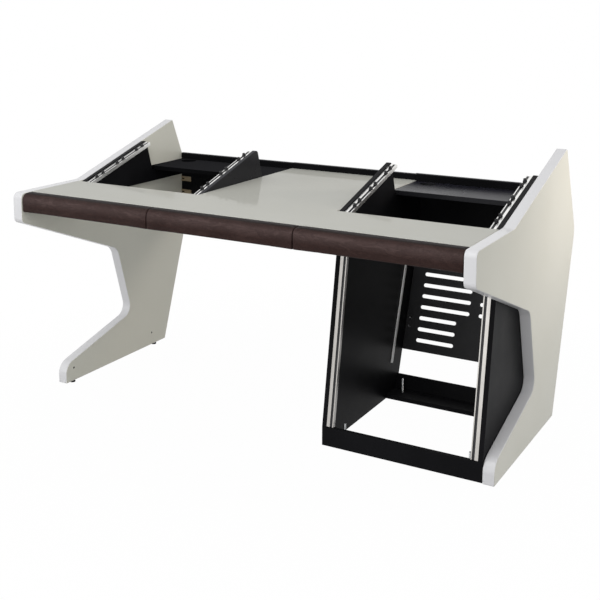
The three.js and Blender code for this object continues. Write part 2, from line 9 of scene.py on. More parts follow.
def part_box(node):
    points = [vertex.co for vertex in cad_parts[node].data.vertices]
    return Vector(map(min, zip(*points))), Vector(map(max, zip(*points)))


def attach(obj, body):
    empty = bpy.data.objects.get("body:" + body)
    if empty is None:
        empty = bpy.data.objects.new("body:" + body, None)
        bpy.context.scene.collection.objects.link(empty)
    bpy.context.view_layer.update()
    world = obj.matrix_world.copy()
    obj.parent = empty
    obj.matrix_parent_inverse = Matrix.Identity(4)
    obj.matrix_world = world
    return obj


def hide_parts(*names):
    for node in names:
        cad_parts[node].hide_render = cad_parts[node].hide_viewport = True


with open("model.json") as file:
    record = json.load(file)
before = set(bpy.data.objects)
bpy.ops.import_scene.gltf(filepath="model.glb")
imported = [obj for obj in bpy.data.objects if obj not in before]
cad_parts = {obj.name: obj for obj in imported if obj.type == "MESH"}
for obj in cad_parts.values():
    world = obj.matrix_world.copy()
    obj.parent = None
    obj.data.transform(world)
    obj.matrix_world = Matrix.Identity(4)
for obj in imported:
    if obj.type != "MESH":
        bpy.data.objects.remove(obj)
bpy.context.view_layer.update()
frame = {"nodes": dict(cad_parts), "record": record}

bodyOf = {node: body for body, nodes in frame["record"]["behaviour"]["bodies"].items() for node in nodes}

# Depths in the desk's own drawing start at the front of the feet; the row's frame starts at the middle
deskPlaces = {
    "middleDepth": 0.295801,
    "desktopHeight": 0.7425,
    "incline": math.atan2(906.5 - 742.5, 661.5 - 122.5),
    "slopeStart": 0.1225,
    "bayMiddle": 0.52465,
    "bayHalfWidth": 0.24805,
    "bayFront": 0.0903,
    "railSlotIn": 0.0155,
    "railStart": 0.0006,
    "railDrop": 0.0045,
}
deskPlaces["bayFrontHeight"] = deskPlaces["desktopHeight"] - (
    deskPlaces["slopeStart"] - deskPlaces["bayFront"]) * math.tan(deskPlaces["incline"])


# Shader maths: a socket that Python's own operators work on
class Wire:
    def __init__(self, tree, socket):
        self.tree = tree
        self.socket = socket

    def maths(self, operation, *values):
        node = self.tree.nodes.new("ShaderNodeMath")
        node.operation = operation
        for place, value in enumerate(values):
            plug(self.tree, value, node.inputs[place])
        return Wire(self.tree, node.outputs[0])

    def __add__(self, other):
        return self.maths("ADD", self, other)

    def __radd__(self, other):
        return self.maths("ADD", other, self)

    def __sub__(self, other):
        return self.maths("SUBTRACT", self, other)

    def __rsub__(self, other):
        return self.maths("SUBTRACT", other, self)

    def __mul__(self, other):
        return self.maths("MULTIPLY", self, other)

    def __rmul__(self, other):
        return self.maths("MULTIPLY", other, self)

    def clamped(self, low=0.0, high=1.0):
        return self.maths("MINIMUM", self.maths("MAXIMUM", self, low), high)


def plug(tree, value, socket):
    if isinstance(value, Wire):
        tree.links.new(value.socket, socket)
    elif value is not None:
        socket.default_value = value


# A material or geometry tree under construction
class Maker:
    def __init__(self, tree):
        self.tree = tree
        tree.nodes.clear()

    def node(self, kind, settings=None, **sockets):
        made = self.tree.nodes.new(kind)
        for key, value in (settings or {}).items():
            setattr(made, key, value)
        for key, value in sockets.items():
            wanted = key.replace("_", " ").lower()
            found = [s for s in made.inputs if s.enabled and s.name.lower() == wanted]
            plug(self.tree, value, found[0] if found else made.inputs[int(key.strip("n"))])
        return made

    def wire(self, kind, settings=None, output=0, **sockets):
        return Wire(self.tree, self.node(kind, settings, **sockets).outputs[output])

    def blendColours(self, factor, first, second):
        node = self.tree.nodes.new("ShaderNodeMix")
        node.data_type = "RGBA"
        for socket, value in zip((node.inputs[0], node.inputs[6], node.inputs[7]), (factor, first, second)):
            plug(self.tree, value, socket)
        return Wire(self.tree, node.outputs[2])


class Finish(Maker):
    def __init__(self, name):
        self.material = bpy.data.materials.new(name)
        self.material.use_nodes = True
        super().__init__(self.material.node_tree)
        self.place = self.wire("ShaderNodeTexCoord", output=3)

    def turned(self, scale=(1, 1, 1), rotation=(0, 0, 0)):
        return self.wire("ShaderNodeMapping", Vector=self.place, Scale=scale, Rotation=rotation)

    def noise(self, scale, detail=2.0, roughness=0.5, vector=None, distortion=0.0):
        return self.wire("ShaderNodeTexNoise", Vector=vector or self.place, Scale=scale, Detail=detail,
                         Roughness=roughness, Distortion=distortion)

    def cells(self, scale, feature="F1", vector=None):
        return self.wire("ShaderNodeTexVoronoi", {"feature": feature}, Vector=vector or self.place, Scale=scale)

    def span(self, value, low, high, newLow=0.0, newHigh=1.0):
        return self.wire("ShaderNodeMapRange", Value=value, From_Min=low, From_Max=high,
                         To_Min=newLow, To_Max=newHigh)

    def bump(self, height, distance, strength=1.0, normal=None):
        return self.wire("ShaderNodeBump", Height=height, Distance=distance, Strength=strength, Normal=normal)

    def finished(self, **sockets):
        shader = self.node("ShaderNodeBsdfPrincipled", **sockets)
        out = self.node("ShaderNodeOutputMaterial")
        self.tree.links.new(shader.outputs[0], out.inputs["Surface"])
        return self.material


def grey(level):
    return (level, level, level, 1)


# Finishes
# The desktop's lacquer is the panels' white lacquer given as a darker copy: painted shade
lacquerLooks = {
    "desktop": {
        "colour": (0.44, 0.44, 0.402, 1), "colourWorn": (0.41, 0.408, 0.37, 1),
        "colourEdgePaintedLight": (0.62, 0.62, 0.58, 1), "edgeAxis": 2, "roughness": (0.5, 0.6), "specular": 0.02,
        "coat": (0.24, 0.30), "coatRoughness": 0.06, "coatIndex": 1.5},
    "panel": {
        "colour": (0.66, 0.654, 0.575, 1), "colourWorn": (0.62, 0.612, 0.53, 1),
        "colourEdgePaintedLight": (0.67, 0.67, 0.685, 1), "edgeAxis": 0, "roughness": (0.42, 0.54), "specular": 0.10,
        "coat": (0.38, 0.46), "coatRoughness": 0.05, "coatIndex": 1.5},
}
lacquerSkin = {
    "smudgeScale": 4.5,
    "cloudScale": 1.7,
    "wornRange": (0.45, 0.75),
    "wornShare": 0.35,
    "bandRange": (0.90, 0.55),
    "peelScale": 420,
    "peelDepth": 0.000006,
    "peelStrength": 0.5,
    "waveScale": 3.2,
    "waveDepth": 0.00012,
    "waveStrength": 0.3,
}


# White lacquer: warm on the broad faces and a colour of its own on the edge bands, under a clear coat; which colour
# a face gets depends on which way it looks, and that is painted light and shade: the panels' edges are painted
# lighter and cooler than their faces, the desktop's top darker than its edges
def lacquerFinish(name, look):
    f = Finish(name)
    skin = lacquerSkin
    smudge = f.noise(skin["smudgeScale"], 5, 0.6)
    cloud = f.noise(skin["cloudScale"], 2)
    wornLow, wornHigh = skin["wornRange"]
    toneShift = f.span(smudge * 0.6 + cloud * 0.4, wornLow, wornHigh, 0, skin["wornShare"])
    face = f.blendColours(toneShift, look["colour"], look["colourWorn"])
    normal = f.wire("ShaderNodeNewGeometry", output=1)
    facing = f.wire("ShaderNodeSeparateXYZ", output=look["edgeAxis"], Vector=normal)
    bandLow, bandHigh = skin["bandRange"]
    # Faces turned away from edgeAxis take the edge colour: painted light and shade by face direction
    colour = f.blendColours(f.span(facing.maths("ABSOLUTE", facing), bandLow, bandHigh), face, look["colourEdgePaintedLight"])
    low, high = look["roughness"]
    coatLow, coatHigh = look["coat"]
    wave = f.bump(f.noise(skin["waveScale"], 0), skin["waveDepth"], skin["waveStrength"])
    peel = f.bump(f.noise(skin["peelScale"], 1), skin["peelDepth"], skin["peelStrength"], wave)
    return f.finished(
        Base_Color=colour,
        Roughness=f.span(smudge, 0.3, 0.7, low, high),
        Specular_IOR_Level=look["specular"],
        Coat_Weight=f.span(smudge, 0.3, 0.7, coatHigh, coatLow),
        Coat_Roughness=look["coatRoughness"],
        Coat_IOR=look["coatIndex"],
        Normal=peel,
    )


# The four looks are copies of one black board: sheen is a lighter, glossier copy and dull a darker one, whose
# colours are painted light and shade; rear carries a painted highlight on faces that look up
blackBoardLooks = {
    "plain": {
        "colour": (0.0046, 0.0046, 0.0052, 1), "colourDusty": (0.0078, 0.0078, 0.0092, 1),
        "colourTopPaintedLight": (0.010, 0.010, 0.011, 1), "roughness": (0.34, 0.46), "specular": 0.035, "grainDepth": 0.00005},
    "sheen": {
        "colour": (0.0150, 0.0150, 0.0170, 1), "colourDusty": (0.0200, 0.0200, 0.0230, 1),
        "colourTopPaintedLight": (0.012, 0.012, 0.017, 1), "roughness": (0.24, 0.34), "specular": 0.09, "grainDepth": 0.00004},
    "dull": {
        "colour": (0.0040, 0.0040, 0.0044, 1), "colourDusty": (0.0070, 0.0070, 0.0078, 1),
        "colourTopPaintedLight": (0.020, 0.020, 0.022, 1), "roughness": (0.62, 0.74), "specular": 0.0, "grainDepth": 0.00005},
    "rear": {
        "colour": (0.0046, 0.0046, 0.0052, 1), "colourDusty": (0.0070, 0.0070, 0.0084, 1),
        "colourTopPaintedLight": (0.065, 0.066, 0.070, 1), "roughness": (0.34, 0.46), "specular": 0.035, "grainDepth": 0.00005},
}
laminateSkin = {
    "hazeScale": 3.2,
    "grainScale": 1400,
    "poreShare": 0.55,
    "grainStrength": 0.5,
    "topRange": (0.55, 0.95),
}


# Black laminate: even on its faces with a random dust haze; faces that look up get a colour of their own, which is
# painted light: a painted highlight along the rear boards' top edges, paler tops on the plain and darker copies,
# and a bluish painted reflection on the lighter copy
def blackBoardFinish(name, look):
    f = Finish(name)
    skin = laminateSkin
    haze = f.noise(skin["hazeScale"], 4, 0.6)
    fine = f.noise(skin["grainScale"], 2, 0.6)
    pores = f.cells(skin["grainScale"] * skin["poreShare"])
    dust = f.span(haze * 0.75 + fine * 0.25, 0.4, 0.68, 0, 1)
    upward = f.wire("ShaderNodeSeparateXYZ", output=2, Vector=f.wire("ShaderNodeNewGeometry", output=1))
    face = f.blendColours(dust, look["colour"], look["colourDusty"])
    topLow, topHigh = skin["topRange"]
    low, high = look["roughness"]
    # Faces that look up take the top colour: painted light
    return f.finished(
        Base_Color=f.blendColours(f.span(upward, topLow, topHigh), face, look["colourTopPaintedLight"]),
        Roughness=f.span(haze, 0.3, 0.7, low, high),
        Specular_IOR_Level=look["specular"],
        Normal=f.bump(pores * 0.6 + fine * 0.4, look["grainDepth"], skin["grainStrength"]),
    )


leatherLook = {
    "colour": (0.030, 0.0138, 0.0118, 1),
    "colourRaised": (0.052, 0.0290, 0.0255, 1),
    "colourCreaseAndShade": (0.008, 0.0042, 0.0040, 1),
    "specular": 0.08,
    "pebbleScale": 620,
    "pebbleDepth": 0.00022,
    "wrinkleScale": 30,
    "wrinkleDepth": 0.0016,
    "roughness": (0.44, 0.60),
    # Heights of a dark line along the top: painted shade
    "paintedShadeHeights": (0.7388, 0.7412),
    # A paler band at fixed heights near the top: a painted highlight
    "colourPaintedHighlight": (0.105, 0.070, 0.066, 1),
    "paintedHighlightHeights": (0.700, 0.721, 0.728, 0.739),
    "paintedHighlightShare": 0.9,
    "bendScale": 60.0,
    "bendReach": 0.004,
    "stretch": (0.55, 1.8, 1.8),
    "patchScale": 9,
    "bumpStrength": 0.6,
}


# Leather: fine pebbles and long soft wrinkles, darker in their hollows, a paler band near the top that is a painted
# highlight, and a dark line along the top that is painted shade
def leatherFinish(name, look):
    f = Finish(name)
    drift = f.wire("ShaderNodeTexNoise", output=1, Vector=f.place, Scale=look["bendScale"], Detail=2.0)
    bent = f.wire("ShaderNodeVectorMath", {"operation": "MULTIPLY_ADD"},
                  n0=drift, n1=(look["bendReach"],) * 3, n2=f.place)
    pebble = f.cells(look["pebbleScale"], "DISTANCE_TO_EDGE", bent)
    raised = f.span(pebble, 0.0, 0.28)
    wrinkle = f.noise(look["wrinkleScale"], 5, 0.6, f.turned(look["stretch"]), 0.9)
    fold = f.span(wrinkle, 0.40, 0.5) * f.span(wrinkle, 0.60, 0.5)
    patch = f.noise(look["patchScale"], 3)
    height = f.wire("ShaderNodeSeparateXYZ", output=2, Vector=f.place)
    shadeLineLow, shadeLineHigh = look["paintedShadeHeights"]
    tone = f.span(patch * 0.5 + raised * 0.2 + wrinkle * 0.3, 0.35, 0.65)
    toned = f.blendColours(tone, look["colour"], look["colourRaised"])
    # A paler band near the top at fixed heights, varied at random: a painted highlight
    highlightStart, highlightFull, highlightFullEnd, highlightEnd = look["paintedHighlightHeights"]
    paintedHighlight = f.span(height, highlightStart, highlightFull) * f.span(height, highlightEnd, highlightFullEnd) * look["paintedHighlightShare"]
    uneven = f.span(patch * 0.5 + wrinkle * 0.5, 0.3, 0.6, 0.45, 1)
    toneShift = f.blendColours(paintedHighlight * uneven, toned, look["colourPaintedHighlight"])
    creased = (1 - raised) * 0.5 + fold * 0.2
    colour = f.blendColours(creased, toneShift, look["colourCreaseAndShade"])
    # A dark line along the top: painted shade
    paintedTopShade = f.blendColours(f.span(height, shadeLineLow, shadeLineHigh), colour, look["colourCreaseAndShade"])
    low, high = look["roughness"]
    roughness = f.span(patch * 0.5 + (1 - raised) * 0.5, 0.2, 0.8, low, high)
    folded = f.bump(wrinkle, look["wrinkleDepth"], look["bumpStrength"])
    grain = f.bump(raised, look["pebbleDepth"], look["bumpStrength"], folded)
    return f.finished(Base_Color=paintedTopShade, Roughness=roughness, Specular_IOR_Level=look["specular"], Normal=grain)


metalLooks = {
    "anodised": {
        "colour": (0.93, 0.925, 0.91, 1), "shade": (0.82, 0.815, 0.80, 1), "side": (0.80, 0.80, 0.78, 1),
        "roughness": (0.24, 0.38), "metallic": 1.0,
        "lineScale": 900, "lineDepth": 0.00002, "turn": 0.0, "along": 1},
    "zincYellow": {
        "colour": (0.46, 0.36, 0.23, 1), "shade": (0.32, 0.28, 0.22, 1), "side": (0.46, 0.36, 0.23, 1),
        "roughness": (0.3, 0.5), "metallic": 0.9,
        "lineScale": 300, "lineDepth": 0.00002, "turn": 0.0, "along": 0},
    "zincBright": {
        "colour": (0.62, 0.63, 0.64, 1), "shade": (0.45, 0.46, 0.47, 1), "side": (0.62, 0.63, 0.64, 1),
        "roughness": (0.2, 0.36), "metallic": 1.0,
        "lineScale": 260, "lineDepth": 0.00001, "turn": 0.0, "along": 2},
    "blackOxide": {
        "colour": (0.016, 0.016, 0.017, 1), "shade": (0.03, 0.03, 0.033, 1), "side": (0.016, 0.016, 0.017, 1),
        "roughness": (0.3, 0.45), "metallic": 0.55,
        "lineScale": 500, "lineDepth": 0.00001, "turn": 0.0, "along": 2},
}
metalSkin = {"squeeze": 0.012, "cloudScale": 14, "lineStrength": 0.4, "sideRange": (0.6, 0.9)}


# Metal: fine lines along the bar, and the colour of its sides apart from that of its face; that side colour, picked
# by which way the face looks, is painted shade on the rails
def metalFinish(name, look):
    f = Finish(name)
    squeezed = [1.0, 1.0, 1.0]
    squeezed[look["along"]] = metalSkin["squeeze"]
    drawn = f.turned(tuple(squeezed), (look["turn"], 0, 0)) if look["turn"] == 0 else f.wire(
        "ShaderNodeMapping", Vector=f.turned(rotation=(look["turn"], 0, 0)), Scale=tuple(squeezed))
    lines = f.noise(look["lineScale"], 3, 0.6, drawn)
    cloud = f.noise(metalSkin["cloudScale"], 4, 0.6)
    low, high = look["roughness"]
    across = f.wire("ShaderNodeSeparateXYZ", output=0, Vector=f.wire("ShaderNodeNewGeometry", output=1))
    face = f.blendColours(f.span(cloud * 0.5 + lines * 0.5, 0.35, 0.7), look["colour"], look["shade"])
    # Faces whose normal runs along X take the side colour: painted shade
    sideLow, sideHigh = metalSkin["sideRange"]
    return f.finished(
        Base_Color=f.blendColours(f.span(across.maths("ABSOLUTE", across), sideLow, sideHigh), face, look["side"]),
        Metallic=look["metallic"],
        Roughness=f.span(cloud * 0.4 + lines * 0.6, 0.3, 0.7, low, high),
        Normal=f.bump(lines, look["lineDepth"], metalSkin["lineStrength"]),
    )


powderLook = {
    "colour": (0.014, 0.014, 0.015, 1),
    "colourWorn": (0.026, 0.026, 0.028, 1),
    "scale": 900,
    "hazeScale": 6,
    "depth": 0.00005,
    "strength": 0.5,
    "roughness": (0.42, 0.58),
    "specular": 0.2,
}


def powderFinish(name, look):
    f = Finish(name)
    peel = f.noise(look["scale"], 2)
    haze = f.noise(look["hazeScale"], 4)
    low, high = look["roughness"]
    return f.finished(
        Base_Color=f.blendColours(f.span(haze, 0.4, 0.7), look["colour"], look["colourWorn"]),
        Roughness=f.span(haze * 0.6 + peel * 0.4, 0.3, 0.7, low, high),
        Specular_IOR_Level=look["specular"],
        Normal=f.bump(peel, look["depth"], look["strength"]),
    )


plasticLook = {
    "colour": (0.004, 0.004, 0.004, 1),
    "colourWorn": (0.012, 0.012, 0.012, 1),
    "scale": 700,
    "scuffScale": 90,
    "depth": 0.00004,
    "strength": 0.4,
    "roughness": (0.55, 0.72),
    "specular": 0.06,
}


def plasticFinish(name, look):
    f = Finish(name)
    speck = f.noise(look["scale"], 3)
    scuff = f.noise(look["scuffScale"], 4, 0.7)
    low, high = look["roughness"]
    return f.finished(
        Base_Color=f.blendColours(f.span(scuff, 0.5, 0.75), look["colour"], look["colourWorn"]),
        Roughness=f.span(scuff, 0.3, 0.7, low, high),
        Specular_IOR_Level=look["specular"],
        Normal=f.bump(speck, look["depth"], look["strength"]),
    )


slopeTurn = {"turn": -deskPlaces["incline"]}
# The upright rails: a darker copy of the anodised finish, which is painted shade
uprightRail = {
    "along": 2, "turn": 0.164,
    "colour": (0.52, 0.50, 0.475, 1), "shade": (0.40, 0.385, 0.365, 1), "side": (0.30, 0.29, 0.28, 1)}
# The rear rails: a near-white copy with almost no metal, whose face is a painted highlight; their sides are painted
# shade
rearRail = {
    "along": 2, "turn": 0.328, "metallic": 0.15, "roughness": (0.4, 0.5),
    "colour": (0.95, 0.95, 0.94, 1), "shade": (0.88, 0.88, 0.87, 1), "side": (0.62, 0.62, 0.61, 1)}
finishes = {
    "lacquer": lacquerFinish("white_lacquer", lacquerLooks["panel"]),
    "lacquerTop": lacquerFinish("white_lacquer_top", lacquerLooks["desktop"]),
    "black": blackBoardFinish("black_laminate", blackBoardLooks["plain"]),
    "blackLitCopy": blackBoardFinish("black_laminate_sheen", blackBoardLooks["sheen"]),
    "blackShadedCopy": blackBoardFinish("black_laminate_dull", blackBoardLooks["dull"]),
    "blackRear": blackBoardFinish("black_laminate_rear", blackBoardLooks["rear"]),
    "leather": leatherFinish("brown_leather", leatherLook),
    "railSloping": metalFinish("anodised_sloping", {**metalLooks["anodised"], **slopeTurn}),
    "railUpright": metalFinish("anodised_upright", {**metalLooks["anodised"], **uprightRail}),
    "railRear": metalFinish("anodised_rear", {**metalLooks["anodised"], **rearRail}),
    "zincYellow": metalFinish("yellow_zinc", metalLooks["zincYellow"]),
    "zincBright": metalFinish("bright_zinc", metalLooks["zincBright"]),
    "blackOxide": metalFinish("black_oxide", metalLooks["blackOxide"]),
    "powder": powderFinish("black_powder_coat", powderLook),
    "plastic": plasticFinish("black_plastic", plasticLook),
}
print("finishes made:", len(finishes))


# Small helpers for pieces
def pieceFrom(name, mesh, finish):
    piece = bpy.data.objects.new(name, mesh)
    bpy.context.scene.collection.objects.link(piece)
    mesh.materials.clear()
    mesh.materials.append(finishes[finish])
    return piece


def declare(piece, node):
    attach(piece, bodyOf[node])
    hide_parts(node)


def applied(piece):
    bpy.context.view_layer.update()
    graph = bpy.context.evaluated_depsgraph_get()
    mesh = bpy.data.meshes.new_from_object(piece.evaluated_get(graph), depsgraph=graph)
    piece.modifiers.clear()
    old = piece.data
    piece.data = mesh
    bpy.data.meshes.remove(old)
    return piece


# Boards and extrusions keep their drawn shape and get the small round edges of the real ones
edgedNodes = {
    "lacquer": {"edge": 0.0, "smooth": 50, "names": ["side_panel_left", "side_panel_right"]},
    "lacquerTop": {"edge": 0.0, "smooth": 50, "names": ["desktop"]},
    "black": {"edge": 0.0007, "smooth": 40, "names": [
        "armrest_batten", "bay_cheek_left_outer", "rack_side_left", "rack_side_right",
        "rack_plinth_front", "rack_plinth_rear", "rack_strip_front", "rack_strip_rear"]},
    # The cheek and right shelf below are a lighter copy of the same black board, the left shelf a darker copy:
    # painted light and shade
    "blackLitCopy": {"edge": 0.0007, "smooth": 40, "names": ["bay_cheek_left_inner", "rear_shelf_right"]},
    "blackShadedCopy": {"edge": 0.0007, "smooth": 40, "names": ["rear_shelf_left"]},
    "blackRear": {"edge": 0.0007, "smooth": 40, "names": [
        "back_board_left", "back_board_centre", "back_board_right"]},
    "railSloping": {"edge": 0.0003, "smooth": 40, "names": [
        "bay_left_rail_left", "bay_left_rail_right", "bay_right_rail_left", "bay_right_rail_right"]},
    "railUpright": {"edge": 0.0003, "smooth": 40, "names": ["rack_front_rail_left", "rack_front_rail_right"]},
    "railRear": {"edge": 0.0004, "smooth": 40, "names": ["rack_rear_rail_left", "rack_rear_rail_right"]},
    "powder": {"edge": 0.0003, "smooth": 40, "names": ["rack_vent_panel"]},
    "zincYellow": {"edge": 0.0003, "smooth": 40, "names": [
        "bracket_left_upper", "bracket_left_lower", "bracket_right_upper", "bracket_right_lower"]},
    "blackOxide": {"edge": 0.0003, "smooth": 40, "names": ["rack_front_nuts_left", "rack_front_nuts_right"]},
}


def edgedCopy(node, finish, edge, smoothDegrees):
    shape = bmesh.new()
    shape.from_mesh(frame["nodes"][node].data)
    bmesh.ops.remove_doubles(shape, verts=shape.verts, dist=0.00001)
    bmesh.ops.dissolve_limit(shape, angle_limit=math.radians(0.4), verts=shape.verts, edges=shape.edges)
    if edge > 0:
        corners = [e for e in shape.edges if len(e.link_faces) == 2 and e.calc_face_angle() > math.radians(30)]
        bmesh.ops.bevel(
            shape, geom=corners, offset=edge, segments=2, profile=0.5, affect="EDGES", clamp_overlap=True)
    for face in shape.faces:
        face.smooth = True
    for seam in shape.edges:
        if len(seam.link_faces) == 2 and seam.calc_face_angle() > math.radians(smoothDegrees):
            seam.smooth = False
    mesh = bpy.data.meshes.new(node + "_edged")
    shape.to_mesh(mesh)
    shape.free()
    piece = pieceFrom(node + "_edged", mesh, finish)
    evened = piece.modifiers.new("evened", "WEIGHTED_NORMAL")
    evened.keep_sharp = True
    applied(piece)
    declare(piece, node)
    return piece


for finish, group in edgedNodes.items():
    for node in group["names"]:
        edgedCopy(node, finish, group["edge"], group["smooth"])
    print("edged:", finish, len(group["names"]))

# Leather armrest: foam under leather, swollen by a short cloth run
padLook = {
    "cell": 0.0045,
    "shrink": 0.0012,
    "cap": 0.0018,
    "pressure": 4.0,
    "mass": 0.3,
    "quality": 6,
    "stretchStiffness": 25,
    "shearStiffness": 10,
    "bendStiffness": 3,
    "frames": 20,
    "roundTop": 0.022,
    "roundBottom": 0.006,
    "roundEnd": 0.0025,
    "crown": 0.0012,
    "backFlat": 0.004,
    "fill": 0.9,
}


def roundDrop(place, halfSpan, radius):
    over = max(0.0, abs(place) - halfSpan + radius) / radius
    return radius * (1 - math.sqrt(max(0.0, 1 - over * over)))


# Places along a span: even in the middle and finer over the rounds at its ends
def stations(half, lowRound, highRound, cell):
    over = [math.sin(math.radians(angle)) for angle in (25, 50, 72, 90)]
    low = [-half + lowRound * (1 - share) for share in reversed(over)]
    high = [half - highRound * (1 - share) for share in over]
    start, end = -half + lowRound, half - highRound
    count = max(2, round((end - start) / cell))
    return low + [start + (end - start) * step / count for step in range(count + 1)] + high


def padShell(low, high, look):
    half = (high - low) / 2
    middle = (high + low) / 2
    depthCells = max(4, round(2 * half.y / look["cell"]))
    places = [
        stations(half.x, look["roundEnd"], look["roundEnd"], look["cell"]),
        [-half.y + 2 * half.y * step / depthCells for step in range(depthCells + 1)],
        stations(half.z, look["roundBottom"], look["roundTop"], look["cell"]),
    ]
    counts = [len(row) - 1 for row in places]
    shape = bmesh.new()
    corners = {}

    def corner(i, j, k):
        if (i, j, k) not in corners:
            x, y, z = places[0][i], places[1][j], places[2][k]
            front = max(0.0, -y / half.y)
            edgeDrop = roundDrop(z, half.z, look["roundTop"] if z > 0 else look["roundBottom"])
            endDrop = roundDrop(x, half.x, look["roundEnd"])
            y += front * (edgeDrop + endDrop + look["crown"] * (x / half.x) ** 4)
            corners[i, j, k] = shape.verts.new(middle + Vector((x, y, z)))
        return corners[i, j, k]

    for axis in range(3):
        a, b = [n for n in range(3) if n != axis]
        for side in (0, counts[axis]):
            for p in range(counts[a]):
                for q in range(counts[b]):
                    ring = []
                    for dp, dq in ((0, 0), (1, 0), (1, 1), (0, 1)):
                        index = [0, 0, 0]
                        index[axis], index[a], index[b] = side, p + dp, q + dq
                        ring.append(corner(*index))
                    shape.faces.new(ring)
    bmesh.ops.recalc_face_normals(shape, faces=shape.faces)
    for face in shape.faces:
        face.smooth = True
    return shape


def swell(piece, look, backDepth):
    before = [v.co.copy() for v in piece.data.vertices]
    held = piece.vertex_groups.new(name="held")
    held.add([i for i, co in enumerate(before) if co.y > backDepth - look["backFlat"]], 1.0, "REPLACE")
    cloth = piece.modifiers.new("stuffing", "CLOTH")
    cloth.settings.quality = look["quality"]
    cloth.settings.mass = look["mass"]
    cloth.settings.tension_stiffness = look["stretchStiffness"]
    cloth.settings.compression_stiffness = look["stretchStiffness"]
    cloth.settings.shear_stiffness = look["shearStiffness"]
    cloth.settings.bending_stiffness = look["bendStiffness"]
    cloth.settings.use_pressure = True
    cloth.settings.uniform_pressure_force = look["pressure"]
    cloth.settings.vertex_group_mass = "held"
    cloth.settings.effector_weights.gravity = 0
    cloth.point_cache.frame_start = 1
    cloth.point_cache.frame_end = look["frames"]
    for step in range(1, look["frames"] + 1):
        bpy.context.scene.frame_set(step)
    graph = bpy.context.evaluated_depsgraph_get()
    swollen = [v.co.copy() for v in piece.evaluated_get(graph).data.vertices]
    piece.modifiers.remove(cloth)
    bpy.context.scene.frame_set(1)
    for vertex, start, end in zip(piece.data.vertices, before, swollen):
        move = end - start
        if move.length > look["cap"]:
            move.length = look["cap"]
        vertex.co = start + move


def armrestPad(node, look):
    low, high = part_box(node)
    inset = Vector((look["shrink"], look["shrink"], look["shrink"]))
    shell = padShell(low + inset, high - Vector((inset.x, 0, inset.z)), look)
    mesh = bpy.data.meshes.new(node + "_leather")
    shell.to_mesh(mesh)
    shell.free()
    piece = pieceFrom(node + "_leather", mesh, "leather")
    swell(piece, look, high.y)
    for vertex in piece.data.vertices:
        for axis in range(3):
            vertex.co[axis] = min(max(vertex.co[axis], low[axis]), high[axis])
    finer = piece.modifiers.new("finer", "SUBSURF")
    finer.levels = finer.render_levels = 1
    applied(piece)
    declare(piece, node)
    return piece


for node in ("armrest_pad_left", "armrest_pad_centre", "armrest_pad_right"):
    armrestPad(node, padLook)
print("armrest pads made")


# Round pieces: rings of one profile about the Z axis
def lathe(profile, sides):
    shape = bmesh.new()
    rings = []
    for radius, height in profile:
        if radius == 0:
            rings.append([shape.verts.new((0, 0, height))])
        else:
            angles = [2 * math.pi * s / sides for s in range(sides)]
            rings.append([shape.verts.new((radius * math.cos(a), radius * math.sin(a), height)) for a in angles])
    for lower, upper in zip(rings, rings[1:]):
        for s in range(sides):
            t = (s + 1) % sides
            ring = [lower[s % len(lower)], lower[t % len(lower)], upper[t % len(upper)], upper[s % len(upper)]]
            ring = [v for i, v in enumerate(ring) if v not in ring[:i]]
            shape.faces.new(ring)
    return shape


def shaded(shape, smoothDegrees=38):
    bmesh.ops.recalc_face_normals(shape, faces=shape.faces)
    for face in shape.faces:
        face.smooth = True
    for seam in shape.edges:
        if len(seam.link_faces) == 2 and seam.calc_face_angle() > math.radians(smoothDegrees):
            seam.smooth = False
    return shape


def meshFrom(name, shape):
    mesh = bpy.data.meshes.new(name)
    shape.to_mesh(mesh)
    shape.free()
    return mesh


# Geometry trees: named inputs, set on the modifier by their identifiers
def geometryTree(name, inputs):
    tree = bpy.data.node_groups.new(name, "GeometryNodeTree")
    tree.interface.new_socket("Geometry", in_out="INPUT", socket_type="NodeSocketGeometry")
    for label, kind in inputs.items():
        tree.interface.new_socket(label, in_out="INPUT", socket_type="NodeSocket" + kind)
    tree.interface.new_socket("Geometry", in_out="OUTPUT", socket_type="NodeSocketGeometry")
    maker = Maker(tree)
    start = maker.node("NodeGroupInput")
    wires = {socket.name: Wire(tree, socket) for socket in start.outputs if socket.name}
    return maker, wires


def runTree(piece, tree, values):
    modifier = piece.modifiers.new(tree.name, "NODES")
    modifier.node_group = tree
    for item in tree.interface.items_tree:
        if item.in_out == "INPUT" and item.name in values:
            modifier[item.identifier] = values[item.name]
    return applied(piece)


# Screws of the sloping rails: pairs along a threaded bar
railScrews = {
    "seat": 0.0003,
    "barWidth": 0.0112,
    "barThickness": 0.0054,
    "barLength": 0.3849,
    "barDrop": 0.0077,
    "barEdge": 0.0003,
    "firstPair": 0.0855,
    "pairPitch": 0.121,
    "pairSpacing": 0.036,
    "pairs": 3,
    "shank": 0.0028,
    "washer": 0.0070,
    "washerHeight": 0.0022,
    "head": 0.0052,
    "headHeight": 0.0063,
    "socket": 0.0025,
    "socketDepth": 0.0026,
}


def railScrewShape(look):
    seat = look["seat"]
    cupTop = seat + look["washerHeight"]
    top = cupTop + look["headHeight"]
    shape = lathe([
        (0, -look["barDrop"] + look["barThickness"] * 0.5),
        (look["shank"], -look["barDrop"] + look["barThickness"] * 0.5),
        (look["shank"], seat),
        (look["washer"], seat),
        (look["washer"], seat + 0.0007),
        (look["washer"] * 0.86, cupTop),
        (look["head"] * 1.02, cupTop),
        (look["head"], cupTop + 0.0002),
        (look["head"], top - 0.0009),
        (look["head"] * 0.93, top - 0.0003),
        (look["head"] * 0.82, top),
        (look["socket"], top),
        (look["socket"], top - look["socketDepth"]),
        (0, top - look["socketDepth"] - 0.0006),
    ], 24)
    return meshFrom("rail_screw", shaded(shape, 35))


